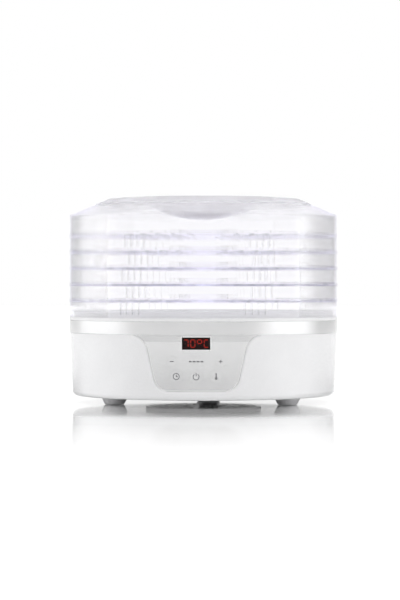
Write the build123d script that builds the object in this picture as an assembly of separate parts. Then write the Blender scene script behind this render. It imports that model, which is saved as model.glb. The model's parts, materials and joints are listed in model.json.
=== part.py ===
from build123d import *
import math
import os

# Round stackable dehydrator with five clear trays, a clear domed lid and a round fan-heater base.
# Millimetres, +Z up, front towards -Y, origin on the floor under the centre of the base.

# --- stack: trays and lid -------------------------------------------------------------------
STACK_RADIUS = 162.5        # outside of every tray and lid flange, the widest part
FLANGE_OVERHANG = 1.0       # how far a flange stands out from the clear wall
FLANGE_THICKNESS = 2.0
FLANGE_EDGE = 0.4           # broken edge on the flanges
CLEAR_WALL = 1.6
TRAY_COUNT = 5
TRAY_PITCH = 19.5
TRAY_FLOOR = 1.8
TRAY_TURNS = (0.0, 2.1, -1.3, 0.9, -2.2)   # degrees each tray stands turned, from the top one down
LIP_HEIGHT = 3.0            # locating lip on top of each tray, inside the wall above
LIP_THICKNESS = 1.6
LIP_CLEARANCE = 0.4
LIP_GUSSETS = 56
GUSSET_WIDTH = 2.2
GUSSET_DEPTH = 3.2
COLLAR_RADIUS = 30.3        # air collar in the middle of each tray
COLLAR_THICKNESS = 1.6
COLLAR_HEIGHT = 7.8
MESH_INNER_EDGE = 2.7       # plain floor between the collar and the mesh
MESH_OUTER_EDGE = 0.7       # plain floor between the gussets and the mesh
MESH_RINGS = 7
MESH_PITCH = 18.0
MESH_BAR = 3.0
RIB_GROUP_ANGLES = (27.0, 153.0, 207.0, 333.0)
RIBS_PER_GROUP = 4
RIB_SPACING = 3.0           # degrees
RIB_WIDTH = 1.6
RIB_DEPTH = 2.6
RIB_CLEARANCE = 0.6

# --- lid ------------------------------------------------------------------------------------
LID_WALL_HEIGHT = 25.1
LID_DOME_RISE = 19.0
LID_THICKNESS = 2.0
RIM_BEAD_HEIGHT = 1.4
SHOULDER_START = 1.6        # flat land on the rim before the dome slopes in
PLATEAU_RADIUS = 116.5
PLATEAU_EDGE = 3.0
PLATEAU_EDGE_DROP = 1.2
DISH_RADIUS = 75.0
DISH_DEPTH = 22.7
GRIP_WIDTH = 20.0
GRIP_DROP = 0.8             # top of the grip bar below the plateau
LID_VENTS = 24
VENT_INNER_RADIUS = 84.0
VENT_OUTER_RADIUS = 104.0
VENT_WIDTH = 4.4

# --- base -----------------------------------------------------------------------------------
FOOT_HEIGHT = 9.0
FOOT_TOP_RADIUS = 15.5
FOOT_BOTTOM_RADIUS = 12.0
FOOT_INSET = 30.9           # centres of the feet inside the bottom plate's edge
FOOT_EDGE = 1.0
FOOT_SEAT_HEIGHT = 4.5      # seat of the foot's screw head
FOOT_RECESS_GAP = 1.0       # round the screw head
FOOT_SPACING = 120.0        # degrees between the three feet, one of them at the back
HOUSING_HEIGHT = 75.3       # white wall, from its lower edge to the trim band
HOUSING_INSET = 0.9         # top of the white wall inside the band
HOUSING_TAPER = 2.9         # the white wall's lower edge inside its top
HOUSING_EDGE_RADIUS = 6.0
HOUSING_WALL = 2.4
LEDGE_WIDTH = 15.0
LEDGE_THICKNESS = 2.6
BAND_HEIGHT = 15.2
BAND_INSET = 0.1            # band inside the deck's rim
BAND_THICKNESS = 1.6
BAND_GAP = 0.15
DECK_RIM_INSET = 0.5        # deck's rim inside the tray flanges
DECK_RIM_HEIGHT = 3.9
DECK_RISE = 7.6             # raised middle of the deck that the lowest tray stands around
DECK_EDGE_RADIUS = 1.6
DECK_THICKNESS = 2.2
DECK_SPIGOT_DEPTH = 5.0
DECK_SPIGOT_GAP = 0.3
OUTLET_RADIUS = 70.0
OUTLET_SEAT_WIDTH = 4.0
OUTLET_GRILLE_THICKNESS = 1.4
OUTLET_GRILLE_GAP = 0.2
OUTLET_HUB_RADIUS = 28.0
OUTLET_SLOTS = 30
OUTLET_SLOT_WIDTH = 7.0
PLATE_THICKNESS = 2.4
PLATE_GAP = 0.3
INTAKE_RADIUS = 67.5
INTAKE_DROP = 4.5           # how far the intake grille hangs below the plate
INTAKE_SLOTS = 28
INTAKE_HUB_RADIUS = 18.0
INTAKE_RIM = 3.0
INTAKE_SLOT_WIDTH = 7.1
SLOT_RING_BAR = 3.0         # between the inner and the outer ring of slots
POST_COUNT = 6
POST_INSET = 5.4            # case posts inside the bottom plate's edge
POST_RADIUS = 4.5
POST_FIRST_ANGLE = 30.0

# --- fascia, keys and display -----------------------------------------------------------------
FASCIA_THICKNESS = 2.0
FASCIA_RECESS = 0.8         # fascia surface below the housing surface
FASCIA_GAP = 0.3
FASCIA_BEND_HEIGHT = 8.0    # height over which the band surface falls back to the fascia surface
FASCIA_TOP_HALF_WIDTH = 60.5
FASCIA_BOTTOM_HALF_WIDTH = 45.9
FASCIA_BOTTOM_HEIGHT = 10.7  # above the lower edge of the housing
FASCIA_CORNER_RADIUS = 18.0
FASCIA_FLARE_RADIUS = 23.0
FASCIA_FLARE_RISE = 1.2     # how far above the band's lower edge the flare runs level
BEVEL_WIDTH = 2.4           # bevel in the housing around the fascia
BEVEL_LAND = 0.05           # edge left behind the bevel where it meets the band
WINDOW_WIDTH = 32.4
WINDOW_HEIGHT = 14.0
WINDOW_CENTRE_HEIGHT = 65.5  # above the lower edge of the housing
WINDOW_GAP = 0.12
SMALL_KEY_RADIUS = 6.2
LARGE_KEY_RADIUS = 8.3
SMALL_KEY_HEIGHT = 45.0
LARGE_KEY_HEIGHT = 27.9
SMALL_KEY_SPREAD = 28.0
LARGE_KEY_SPREAD = 22.8
KEY_GAP = 0.12
KEY_FLANGE_GAP = 0.2        # between the flange and the back of the fascia
KEY_FLANGE = 1.0
KEY_FLANGE_THICKNESS = 1.0
KEY_STEM_RADIUS = 2.4
KEY_TRAVEL = 0.5
KEY_END_GAP = 0.1           # left between stem and switch with the key fully in
BOARD_SETBACK = 13.1        # control board's face behind the foot of the white wall
BOARD_WIDTH = 86.0
BOARD_HEIGHT = 66.0
BOARD_THICKNESS = 1.6
BOARD_BOTTOM_HEIGHT = 9.0
SWITCH_SIZE = 6.0
SWITCH_HEIGHT = 3.6
SWITCH_PLUNGER_HEIGHT = 1.0
SWITCH_PLUNGER_RADIUS = 1.5
BOARD_HOLE_INSET = 4.0
MOUNT_THICKNESS = 3.0
MOUNT_BORDER = 9.0
MOUNT_FOOT_OVERHANG = 6.0   # mount's foot past the inner edge of the housing's ledge
DISPLAY_WIDTH = 30.4
DISPLAY_HEIGHT = 12.8
DISPLAY_GAP = 0.36          # between the LED block and the window
DISPLAY_EDGE = 0.5

# --- fan and heater -----------------------------------------------------------------------------
BRACKET_POST_CIRCLE = 80.0
BRACKET_ARMS = 3
BRACKET_FIRST_ANGLE = 30.0
BRACKET_RIM = 2.0           # bracket plate past the motor
BRACKET_HOLE_RADIUS = 6.0
BRACKET_THICKNESS = 2.0
BRACKET_ARM_WIDTH = 12.0
MOTOR_RADIUS = 21.0
MOTOR_HEIGHT = 26.0
MOTOR_EDGE = 1.0
MOTOR_NOSE_RADIUS = 8.0
MOTOR_NOSE_HEIGHT = 2.0
SHAFT_RADIUS = 2.0
SHAFT_CLEARANCE = 0.05
SHAFT_SEAT_HEIGHT = 4.0     # shaft's lower end above the motor's underside
SHAFT_BORE_END = 1.0        # bore left below the shaft
SHAFT_PROUD = 2.0           # shaft's upper end above the fan hub
FAN_TIP_GAP = 7.0
FAN_HUB_RADIUS = 13.0
FAN_HEIGHT = 14.0
FAN_HUB_EDGE = 2.0
FAN_BLADES = 7
FAN_BLADE_THICKNESS = 1.6
FAN_BLADE_PITCH = 32.0
FAN_GAP = 4.0               # hub above the motor
DUCT_INSET = 2.0            # inside of the duct inside the deck's opening
DUCT_WALL = 0.8
DUCT_FLANGE_WIDTH = 10.0
DUCT_HEIGHT = 56.0
HEATER_FRAME_HEIGHT = 24.0
HEATER_FRAME_THICKNESS = 0.8
HEATER_COILS = 3
HEATER_COIL_INSET = 12.0    # outermost coil inside the duct
HEATER_COIL_PITCH = 15.0
HEATER_COIL_RADIUS = 1.6
HEATER_CLEARANCE = 0.3
HEATER_TAB_HEIGHT = 8.0
HEATER_DROP = 8.0           # top of the heater frame below the deck
HEATER_GAP = 4.8            # heater frame above the shaft
THERMOSTAT_RADIUS = 8.0
THERMOSTAT_HEIGHT = 6.0
THERMOSTAT_CAP_RADIUS = 6.0
THERMOSTAT_CAP_HEIGHT = 2.0
THERMOSTAT_ANGLE = 45.0     # from +X towards the back
FUSE_RADIUS = 2.0
FUSE_LENGTH = 12.0
FUSE_LEAD_RADIUS = 0.6
FUSE_LEAD_LENGTH = 22.0
FUSE_ANGLE = 135.0

# --- power board --------------------------------------------------------------------------------
POWER_BOARD_WIDTH = 84.0
POWER_BOARD_DEPTH = 46.0
POWER_BOARD_RISE = 16.0     # above the bottom plate
POWER_BOARD_INSET = 13.4    # its back edge inside the bottom plate's edge
POWER_BOARD_HOLE_INSET = 6.0
POWER_POST_RADIUS = 3.5
CORE_SIZE = (28.0, 28.0, 10.0)
CORE_LIFT = 6.0
BOBBIN_SIZE = (20.0, 22.0, 24.0)
TRANSFORMER_PLACE = (-12.0, 25.0)   # x, and distance behind the board's front edge
TRANSFORMER_EDGE = 1.0
RELAY_SIZE = (12.0, 19.0, 15.0)
RELAY_PLACE = (20.0, 19.5)
RELAY_EDGE = 0.8
CAPACITORS = (              # x, distance behind the board's front edge, radius, height
    (9.0, 34.0, 4.0, 12.8),
    (20.0, 37.0, 5.0, 16.0),
    (9.0, 14.0, 3.0, 9.6),
)
CAPACITOR_EDGE = 0.6

# --- fasteners and small fittings -----------------------------------------------------------------
SCREW_RADIUS = 1.6
SCREW_HEAD_RADIUS = 3.2
SCREW_HEAD_HEIGHT = 1.6
SCREW_HOLE_CLEARANCE = 0.3
SCREW_BITE_CLEARANCE = 0.05
SCREW_HEAD_EDGE = 0.4
SCREW_CROSS_WIDTH = 1.0
SCREW_CROSS_LENGTH = 3.8
SCREW_CROSS_DEPTH = 0.8
CASE_SCREW_LENGTH = 15.0
CASE_SCREW_SINK = 0.8       # heads' seat below the top of the bottom plate
FOOT_SCREW_LENGTH = 13.0
BRACKET_SCREW_LENGTH = 7.0
POWER_BOARD_SCREW_LENGTH = 6.0
CONTROL_BOARD_SCREW_LENGTH = 4.0
PILOT_END = 1.0             # pilot hole past the end of the screw
PILOT_CAP = 2.0             # boss past the end of the pilot hole
BUSHING_RADIUS = 6.5
BUSHING_BORE_RADIUS = 3.6
BUSHING_FLANGE_RADIUS = 8.6
BUSHING_FLANGE_THICKNESS = 1.6
BUSHING_HEIGHT = 22.0       # above the lower edge of the housing
BUSHING_GAP = 0.05
BUSHING_TAIL = 6.0          # inside the housing wall

# --- levels and radii that follow --------------------------------------------------------------
HOUSING_Z = FOOT_HEIGHT
PLATE_TOP_Z = HOUSING_Z + PLATE_THICKNESS
LEDGE_TOP_Z = PLATE_TOP_Z + LEDGE_THICKNESS
BAND_Z = HOUSING_Z + HOUSING_HEIGHT
DECK_Z = BAND_Z + BAND_HEIGHT
STACK_Z = DECK_Z + DECK_RIM_HEIGHT
DECK_TOP_Z = STACK_Z + DECK_RISE
DECK_UNDER_Z = DECK_TOP_Z - DECK_THICKNESS
LID_Z = STACK_Z + TRAY_COUNT * TRAY_PITCH
RIM_Z = LID_Z + LID_WALL_HEIGHT
TOP_Z = RIM_Z + LID_DOME_RISE
WALL_OUTER = STACK_RADIUS - FLANGE_OVERHANG
WALL_INNER = WALL_OUTER - CLEAR_WALL
LIP_OUTER = WALL_INNER - LIP_CLEARANCE
LIP_INNER = LIP_OUTER - LIP_THICKNESS
MESH_INNER_RADIUS = COLLAR_RADIUS + MESH_INNER_EDGE
MESH_OUTER_RADIUS = LIP_INNER - GUSSET_DEPTH - MESH_OUTER_EDGE
DECK_RIM_RADIUS = STACK_RADIUS - DECK_RIM_INSET
BAND_RADIUS = DECK_RIM_RADIUS - BAND_INSET
HOUSING_TOP_RADIUS = BAND_RADIUS - HOUSING_INSET
HOUSING_BOTTOM_RADIUS = HOUSING_TOP_RADIUS - HOUSING_TAPER
SEAT_RADIUS = BAND_RADIUS - BAND_THICKNESS - BAND_GAP
SEAT_INNER = SEAT_RADIUS - HOUSING_WALL
HOUSING_SLOPE = HOUSING_TAPER / HOUSING_HEIGHT
BEVEL_DEPTH = HOUSING_TOP_RADIUS - SEAT_RADIUS - BEVEL_LAND
LEDGE_INNER = HOUSING_BOTTOM_RADIUS - HOUSING_WALL - LEDGE_WIDTH
PLATE_RADIUS = HOUSING_BOTTOM_RADIUS - HOUSING_EDGE_RADIUS - PLATE_GAP - HOUSING_WALL
POST_CIRCLE_RADIUS = PLATE_RADIUS - POST_INSET
FOOT_CIRCLE_RADIUS = PLATE_RADIUS - FOOT_INSET
BOARD_FRONT = HOUSING_BOTTOM_RADIUS - BOARD_SETBACK
POWER_BOARD_FRONT = PLATE_RADIUS - POWER_BOARD_INSET - POWER_BOARD_DEPTH
POWER_BOARD_Z = PLATE_TOP_Z + POWER_BOARD_RISE
DUCT_RADIUS = OUTLET_RADIUS - DUCT_INSET
FAN_RADIUS = DUCT_RADIUS - FAN_TIP_GAP
OUTER_COIL_RADIUS = DUCT_RADIUS - HEATER_COIL_INSET
HEATER_RADII = [OUTER_COIL_RADIUS - HEATER_COIL_PITCH * number for number in range(HEATER_COILS)]
HEATER_TOP_Z = DECK_UNDER_Z - HEATER_DROP
HEATER_Z = HEATER_TOP_Z - HEATER_FRAME_HEIGHT
COIL_Z = (HEATER_Z + HEATER_TOP_Z) / 2
SHAFT_TOP_Z = HEATER_Z - HEATER_GAP
FAN_TOP_Z = SHAFT_TOP_Z - SHAFT_PROUD
FAN_Z = FAN_TOP_Z - FAN_HEIGHT
MOTOR_TOP_Z = FAN_Z - FAN_GAP
MOTOR_Z = MOTOR_TOP_Z - MOTOR_HEIGHT
SHAFT_Z = MOTOR_Z + SHAFT_SEAT_HEIGHT
BRACKET_Z = MOTOR_Z - BRACKET_THICKNESS
WINDOW_Z = HOUSING_Z + WINDOW_CENTRE_HEIGHT
BOARD_Z = HOUSING_Z + BOARD_BOTTOM_HEIGHT
SCREW_HOLE_RADIUS = SCREW_RADIUS + SCREW_HOLE_CLEARANCE
SCREW_RECESS_RADIUS = SCREW_HEAD_RADIUS + SCREW_HOLE_CLEARANCE
PILOT_RADIUS = SCREW_RADIUS + SCREW_BITE_CLEARANCE
FIT_TOLERANCE = 0.01        # for finding edges by their place
CUT = 1.0                   # how far a cut runs past the face it opens
SPREAD = 400.0              # longer than anything that has to be cut through

KEYS = {
    "key_minus": (-SMALL_KEY_SPREAD, HOUSING_Z + SMALL_KEY_HEIGHT, SMALL_KEY_RADIUS),
    "key_plus": (SMALL_KEY_SPREAD, HOUSING_Z + SMALL_KEY_HEIGHT, SMALL_KEY_RADIUS),
    "key_timer": (-LARGE_KEY_SPREAD, HOUSING_Z + LARGE_KEY_HEIGHT, LARGE_KEY_RADIUS),
    "key_power": (0.0, HOUSING_Z + LARGE_KEY_HEIGHT, LARGE_KEY_RADIUS),
    "key_temperature": (LARGE_KEY_SPREAD, HOUSING_Z + LARGE_KEY_HEIGHT, LARGE_KEY_RADIUS),
}
FEET = {
    "foot_front_left": 180.0 + FOOT_SPACING,
    "foot_front_right": 180.0 - FOOT_SPACING,
    "foot_back": 180.0,
}


# --- helpers --------------------------------------------------------------------------------
def around(radius, angle, z=0.0):
    """A point at a radius from the middle, its angle in degrees from the front towards +X."""
    turn = math.radians(angle)
    return (radius * math.sin(turn), -radius * math.cos(turn), z)


def even_angles(count, first=0.0):
    return [first + 360.0 * number / count for number in range(count)]


def disc(radius, bottom, top, centre=(0.0, 0.0)):
    height = top - bottom
    cylinder = Cylinder(radius, height, align=(Align.CENTER, Align.CENTER, Align.MIN))
    return Pos(centre[0], centre[1], bottom) * cylinder


def ring(outer, inner, bottom, top):
    return disc(outer, bottom, top) - disc(inner, bottom, top)


def block(low, high):
    size = [b - a for a, b in zip(low, high)]
    return Pos(*low) * Box(*size, align=(Align.MIN, Align.MIN, Align.MIN))


def turned(corners):
    """Solid of revolution about Z, from (radius, z) corners."""
    outline = Polyline(*[(radius, 0.0, z) for radius, z in corners], close=True)
    return revolve(make_face(outline), Axis.Z)


def rod(radius, x, z, front, back):
    """A round bar along Y, from one distance in front of the middle to another."""
    bar = Rot(90, 0, 0) * Cylinder(radius, front - back, align=(Align.CENTER, Align.CENTER, Align.MIN))
    return Pos(x, -back, z) * bar


def slot_rings(inner, outer, width, count):
    """Two rings of straight slots, with half as many in the inner ring."""
    middle = (inner + outer) / 2
    half_bar = SLOT_RING_BAR / 2
    slots = [radial_slot(middle + half_bar, outer, width, angle) for angle in even_angles(count)]
    slots += [radial_slot(inner, middle - half_bar, width, angle) for angle in even_angles(count // 2)]
    return slots


def standing_block(size, x, y, z):
    """A box of a size, its footprint centred on a point."""
    return Pos(x, y, z) * Box(*size, align=(Align.CENTER, Align.CENTER, Align.MIN))


def slotted_plate(radius, bottom, thickness, windows, bore=0.0):
    """A round plate with windows, each a list of (x, y) corners, and an optional round bore."""
    inner = [Wire.make_polygon([(x, y, 0) for x, y in corners], close=True) for corners in windows]
    if bore:
        inner.append(Wire.make_circle(bore))
    plate = Face(Wire.make_circle(radius), inner)
    return Pos(0, 0, bottom) * extrude(plate, thickness, dir=(0, 0, 1))


def radial_slot(inner, outer, width, angle):
    """Corners of a straight slot that points at the middle."""
    turn = math.radians(angle)
    out = (math.sin(turn), -math.cos(turn))
    side = (math.cos(turn), math.sin(turn))
    corners = []
    for along, across in ((inner, -0.5), (outer, -0.5), (outer, 0.5), (inner, 0.5)):
        corners.append((along * out[0] + across * width * side[0], along * out[1] + across * width * side[1]))
    return corners


def screw(length):
    """A pan-head self-tapping screw, head down, its head's seat at z = 0."""
    body = disc(SCREW_HEAD_RADIUS, -SCREW_HEAD_HEIGHT, 0) + disc(SCREW_RADIUS, 0, length)
    head_edges = body.edges().filter_by(GeomType.CIRCLE).group_by(Axis.Z)[0]
    body = chamfer(head_edges, SCREW_HEAD_EDGE)
    half = SCREW_CROSS_LENGTH / 2
    wide = SCREW_CROSS_WIDTH / 2
    floor = SCREW_CROSS_DEPTH - SCREW_HEAD_HEIGHT
    cross = block((-half, -wide, -SCREW_HEAD_HEIGHT), (half, wide, floor))
    cross += block((-wide, -half, -SCREW_HEAD_HEIGHT), (wide, half, floor))
    return body - cross


def save(name, shape):
    os.makedirs("parts", exist_ok=True)
    export_step(shape, f"parts/{name}.step")


def save_group(name, shapes):
    save(name, Compound(children=[part for shape in shapes for part in shape.solids()]))


# --- trays ----------------------------------------------------------------------------------
def mesh_windows():
    """Windows of the tray floor: rings of wedges between straight bars of one width."""
    band = (MESH_OUTER_RADIUS - MESH_INNER_RADIUS) / MESH_RINGS
    windows = []
    for number in range(MESH_RINGS):
        inner = MESH_INNER_RADIUS + band * number + MESH_BAR / 2
        outer = inner + band - MESH_BAR
        count = round(math.pi * (inner + outer) / MESH_PITCH)
        for angle in even_angles(count):
            corners = []
            for radius, side in ((inner, -1), (outer, -1), (outer, 1), (inner, 1)):
                half = 180.0 / count - math.degrees(MESH_BAR / 2 / radius)
                corners.append(around(radius, angle + side * half)[:2])
            windows.append(corners)
    return windows


def tray():
    """One clear tray, its top joint plane at z = 0: floor on top, wall hanging down."""
    edge = FLANGE_EDGE
    foot = -TRAY_PITCH
    shell = turned([
        (LIP_INNER, LIP_HEIGHT),
        (LIP_OUTER, LIP_HEIGHT),
        (LIP_OUTER, 0),
        (STACK_RADIUS - edge, 0),
        (STACK_RADIUS, -edge),
        (STACK_RADIUS, -FLANGE_THICKNESS),
        (WALL_OUTER, -FLANGE_THICKNESS - edge),
        (WALL_OUTER, foot + FLANGE_THICKNESS + edge),
        (STACK_RADIUS, foot + FLANGE_THICKNESS),
        (STACK_RADIUS, foot + edge),
        (STACK_RADIUS - edge, foot),
        (WALL_INNER, foot),
        (WALL_INNER, -TRAY_FLOOR),
        (LIP_INNER, -TRAY_FLOOR),
    ])
    floor_radius = LIP_INNER + LIP_THICKNESS / 2
    bore = COLLAR_RADIUS - COLLAR_THICKNESS
    floor = slotted_plate(floor_radius, -TRAY_FLOOR, TRAY_FLOOR, mesh_windows(), bore)
    collar = ring(COLLAR_RADIUS, bore, -TRAY_FLOOR / 2, COLLAR_HEIGHT)
    extras = [floor, collar]
    gusset = block(
        (-GUSSET_WIDTH / 2, -LIP_INNER - LIP_THICKNESS / 2, -TRAY_FLOOR / 2),
        (GUSSET_WIDTH / 2, -LIP_INNER + GUSSET_DEPTH, LIP_HEIGHT),
    )
    extras += [Rot(0, 0, angle) * gusset for angle in even_angles(LIP_GUSSETS)]
    rib = block(
        (-RIB_WIDTH / 2, -WALL_INNER - CLEAR_WALL / 2, foot + LIP_HEIGHT + RIB_CLEARANCE),
        (RIB_WIDTH / 2, -WALL_INNER + RIB_DEPTH, -TRAY_FLOOR / 2),
    )
    for group in RIB_GROUP_ANGLES:
        for number in range(RIBS_PER_GROUP):
            extras.append(Rot(0, 0, group + RIB_SPACING * (number - (RIBS_PER_GROUP - 1) / 2)) * rib)
    return shell + extras


def save_trays():
    one_tray = tray()
    for number, turn in enumerate(TRAY_TURNS[:TRAY_COUNT]):
        save(f"tray_{number + 1}", Pos(0, 0, LID_Z - TRAY_PITCH * number) * Rot(0, 0, turn) * one_tray)


# --- lid ------------------------------------------------------------------------------------
def dish_radius_of_curvature():
    return (DISH_RADIUS ** 2 + DISH_DEPTH ** 2) / (2 * DISH_DEPTH)


def dish_height(radius, sphere_radius):
    """Height of the dish surface, or of one parallel to it, at a radius from the middle."""
    centre_z = TOP_Z - DISH_DEPTH + dish_radius_of_curvature()
    return centre_z - math.sqrt(sphere_radius ** 2 - radius ** 2)


def dish_arc(end_radius, sphere_radius):
    points = [(r, 0, dish_height(r, sphere_radius)) for r in (end_radius, end_radius / 2, 0)]
    return ThreePointArc(*points)


def lid_shell():
    sphere = dish_radius_of_curvature()
    under = sphere + LID_THICKNESS
    centre_z = TOP_Z - DISH_DEPTH + sphere
    under_radius = math.sqrt(under ** 2 - (centre_z - TOP_Z + LID_THICKNESS) ** 2)
    edge = FLANGE_EDGE
    outside = Polyline(
        (WALL_INNER, 0, LID_Z),
        (STACK_RADIUS - edge, 0, LID_Z),
        (STACK_RADIUS, 0, LID_Z + edge),
        (STACK_RADIUS, 0, LID_Z + FLANGE_THICKNESS),
        (WALL_OUTER, 0, LID_Z + FLANGE_THICKNESS + edge),
        (WALL_OUTER, 0, RIM_Z - RIM_BEAD_HEIGHT - edge),
        (STACK_RADIUS, 0, RIM_Z - RIM_BEAD_HEIGHT),
        (STACK_RADIUS, 0, RIM_Z - edge),
        (STACK_RADIUS - edge, 0, RIM_Z),
        (STACK_RADIUS - SHOULDER_START, 0, RIM_Z),
        (PLATEAU_RADIUS + PLATEAU_EDGE, 0, TOP_Z - PLATEAU_EDGE_DROP),
        (PLATEAU_RADIUS, 0, TOP_Z),
        (DISH_RADIUS, 0, TOP_Z),
    )
    inside = Polyline(
        (0, 0, dish_height(0, under)),
        (0, 0, dish_height(0, sphere)),
    )
    return_path = Polyline(
        (under_radius, 0, TOP_Z - LID_THICKNESS),
        (PLATEAU_RADIUS, 0, TOP_Z - LID_THICKNESS),
        (PLATEAU_RADIUS + PLATEAU_EDGE, 0, TOP_Z - LID_THICKNESS - PLATEAU_EDGE_DROP),
        (STACK_RADIUS - SHOULDER_START - LID_THICKNESS, 0, RIM_Z - LID_THICKNESS),
        (WALL_INNER, 0, RIM_Z - LID_THICKNESS * 2),
        (WALL_INNER, 0, LID_Z),
    )
    edges = [outside, dish_arc(DISH_RADIUS, sphere), inside, dish_arc(under_radius, under), return_path]
    wire = Wire([edge for part in edges for edge in part.edges()])
    return revolve(Face(wire), Axis.Z)


def lid():
    sphere = dish_radius_of_curvature()
    centre_z = TOP_Z - DISH_DEPTH + sphere
    bar = block(
        (-DISH_RADIUS, -GRIP_WIDTH / 2, TOP_Z - DISH_DEPTH),
        (DISH_RADIUS, GRIP_WIDTH / 2, TOP_Z - GRIP_DROP),
    )
    bar = bar & (Pos(0, 0, centre_z) * Sphere(sphere + LID_THICKNESS / 2))
    shell = lid_shell() + bar
    vents = []
    for angle in even_angles(LID_VENTS):
        corners = radial_slot(VENT_INNER_RADIUS, VENT_OUTER_RADIUS, VENT_WIDTH, angle)
        face = make_face(Polyline(*corners, close=True))
        vents.append(Pos(0, 0, TOP_Z - 2 * LID_THICKNESS) * extrude(face, 3 * LID_THICKNESS))
    return shell - vents


# --- base shells ------------------------------------------------------------------------------
def post_angles():
    return even_angles(POST_COUNT, POST_FIRST_ANGLE)


def bracket_angles():
    return even_angles(BRACKET_ARMS, BRACKET_FIRST_ANGLE)


def housing_radius(z):
    return HOUSING_BOTTOM_RADIUS + HOUSING_SLOPE * (z - HOUSING_Z)


def fascia_prism(gap, height_above):
    """Front-view outline of the fascia, drawn out along Y, its sides and bottom moved out by gap."""
    top = BAND_Z + FASCIA_FLARE_RISE
    bottom = HOUSING_Z + FASCIA_BOTTOM_HEIGHT - gap
    slope = (FASCIA_TOP_HALF_WIDTH - FASCIA_BOTTOM_HALF_WIDTH) / (top - bottom - gap)
    side = gap * math.hypot(1, slope)
    low = FASCIA_BOTTOM_HALF_WIDTH + side - gap * slope
    high = FASCIA_TOP_HALF_WIDTH + side
    half_turn = math.atan2(1, slope) / 2
    reach = high + (FASCIA_FLARE_RADIUS - gap) * math.tan(half_turn) + CUT
    right = [(low, bottom), (high, top), (reach, top), (reach, top + height_above)]
    points = [(-x, z) for x, z in reversed(right)] + right
    radii = [0, FASCIA_FLARE_RADIUS - gap, FASCIA_CORNER_RADIUS + gap]
    outline = FilletPolyline(*points, radius=radii + radii[::-1])
    closing = Line(points[-1], points[0])
    face = make_face(Plane.XZ * (outline + closing))
    return extrude(face, SPREAD / 2, dir=(0, -1, 0))


def bevel_opening(shell):
    """Bevels the edge of the fascia opening on the outside of the housing."""
    found = ShapeList()
    for edge in shell.edges():
        middle = edge @ 0.5
        on_skin = abs(math.hypot(middle.X, middle.Y) - housing_radius(middle.Z)) < FIT_TOLERANCE
        on_wall = HOUSING_Z + HOUSING_EDGE_RADIUS < middle.Z < BAND_Z - FIT_TOLERANCE
        if on_skin and on_wall and edge.geom_type != GeomType.LINE:
            found.append(edge)
    skin = [face for face in shell.faces() if any(edge.is_same(found[0]) for edge in face.edges())]
    skin = [face for face in skin if face.geom_type == GeomType.CONE][0]
    return chamfer(found, BEVEL_WIDTH, BEVEL_DEPTH, reference=skin)


def base_housing():
    inner_bottom = HOUSING_BOTTOM_RADIUS - HOUSING_WALL
    corners = [
        (PLATE_RADIUS + PLATE_GAP, HOUSING_Z),
        (HOUSING_BOTTOM_RADIUS, HOUSING_Z),
        (HOUSING_TOP_RADIUS, BAND_Z),
        (SEAT_RADIUS, BAND_Z),
        (SEAT_RADIUS, DECK_Z),
        (SEAT_INNER, DECK_Z),
        (SEAT_INNER, BAND_Z),
        (inner_bottom, LEDGE_TOP_Z),
        (LEDGE_INNER, LEDGE_TOP_Z),
        (LEDGE_INNER, PLATE_TOP_Z),
        (PLATE_RADIUS + PLATE_GAP, PLATE_TOP_Z),
    ]
    face = make_face(Polyline(*[(radius, 0, z) for radius, z in corners], close=True)).face()
    corner = face.vertices().sort_by_distance(Vector(HOUSING_BOTTOM_RADIUS, 0, HOUSING_Z))[0]
    shell = revolve(face.fillet_2d(HOUSING_EDGE_RADIUS, [corner]), Axis.Z)
    shell = bevel_opening(shell - fascia_prism(FASCIA_GAP, CUT))
    bushing_z = HOUSING_Z + BUSHING_HEIGHT
    cuts = [rod(BUSHING_RADIUS + BUSHING_GAP, 0, bushing_z, -BOARD_FRONT, -SPREAD / 2)]
    for angle in post_angles():
        place = around(POST_CIRCLE_RADIUS, angle)
        cuts.append(disc(SCREW_HOLE_RADIUS, PLATE_TOP_Z - CUT, LEDGE_TOP_Z + CUT, place))
    return shell - cuts


def trim_fascia():
    """Satin band around the base with the control panel tongue hanging from its front."""
    edge = FLANGE_EDGE
    inner = BAND_RADIUS - BAND_THICKNESS
    band = turned([
        (inner, BAND_Z),
        (BAND_RADIUS - edge, BAND_Z),
        (BAND_RADIUS, BAND_Z + edge),
        (BAND_RADIUS, DECK_Z - edge),
        (BAND_RADIUS - edge, DECK_Z),
        (inner, DECK_Z),
    ])
    bend_z = BAND_Z - FASCIA_BEND_HEIGHT
    bottom_z = HOUSING_Z + HOUSING_EDGE_RADIUS
    skin = [
        (BAND_RADIUS, BAND_Z + edge),
        (BAND_RADIUS - edge, BAND_Z - FASCIA_BEND_HEIGHT / 4),
        (housing_radius(bend_z) - FASCIA_RECESS, bend_z),
        (housing_radius(bottom_z) - FASCIA_RECESS, bottom_z),
    ]
    behind = [(radius - FASCIA_THICKNESS, z) for radius, z in reversed(skin[1:])]
    step = [(behind[-1][0], BAND_Z), (inner, BAND_Z), (inner, BAND_Z + edge)]
    tongue = turned(skin + behind + step) & fascia_prism(0.0, CUT)
    panel = band + tongue
    window = block(
        (-WINDOW_WIDTH / 2, -SPREAD / 2, WINDOW_Z - WINDOW_HEIGHT / 2),
        (WINDOW_WIDTH / 2, 0, WINDOW_Z + WINDOW_HEIGHT / 2),
    )
    holes = [rod(radius + KEY_GAP, x, z, SPREAD / 2, 0) for x, z, radius in KEYS.values()]
    return panel - [window, *holes]


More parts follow.
